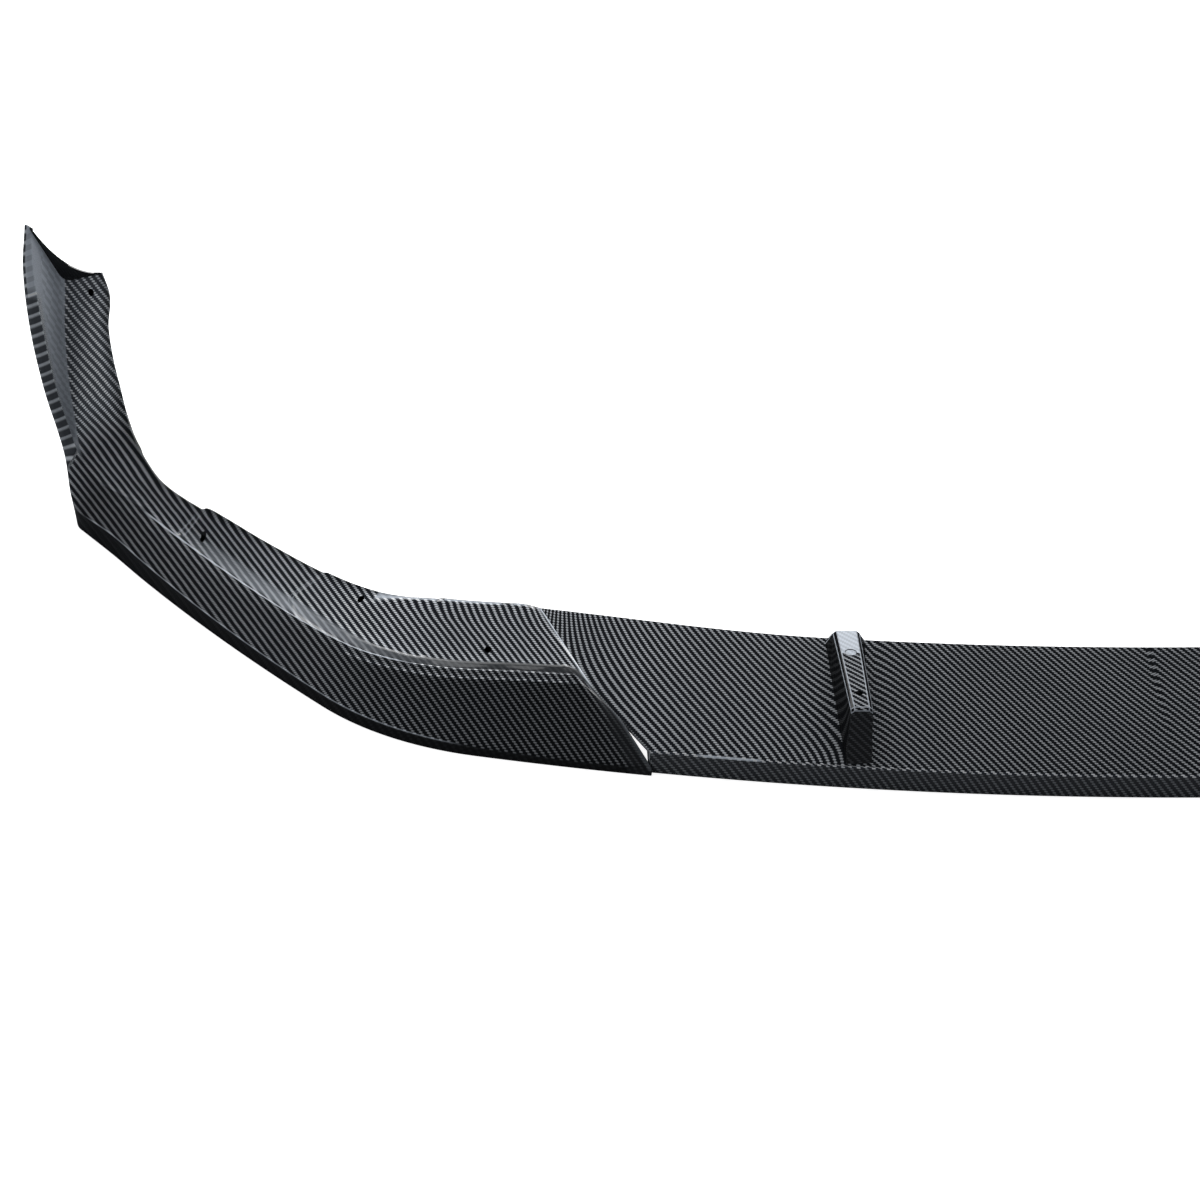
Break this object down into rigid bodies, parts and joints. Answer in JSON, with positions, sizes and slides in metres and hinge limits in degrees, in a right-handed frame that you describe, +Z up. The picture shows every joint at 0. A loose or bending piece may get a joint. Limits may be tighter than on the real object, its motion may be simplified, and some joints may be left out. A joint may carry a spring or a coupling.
{
  "type": "front splitter lip",
  "caption": "Moulded front splitter lip for a car bumper: sloping blade with ribs and corner sections that rise into winglets.",
  "frame": {"origin": "midway between the foremost and rearmost points, on the car's centre plane, at the level of the bottom edges", "axes": "+X across the car towards the picture's right, -Y towards the front of the car, +Z up"},
  "size_m": [1.8244, 0.5196, 0.2475],
  "materials": {
    "carbon_shell": "twill weave under a clear gloss coat",
    "steel_screw": "plain steel"
  },
  "bodies": {
    "root": {"center_section": "carbon_shell", "left_corner": "carbon_shell", "right_corner": "carbon_shell", "left_joint_screws": "steel_screw", "right_joint_screws": "steel_screw"}
  },
  "joints": []
}
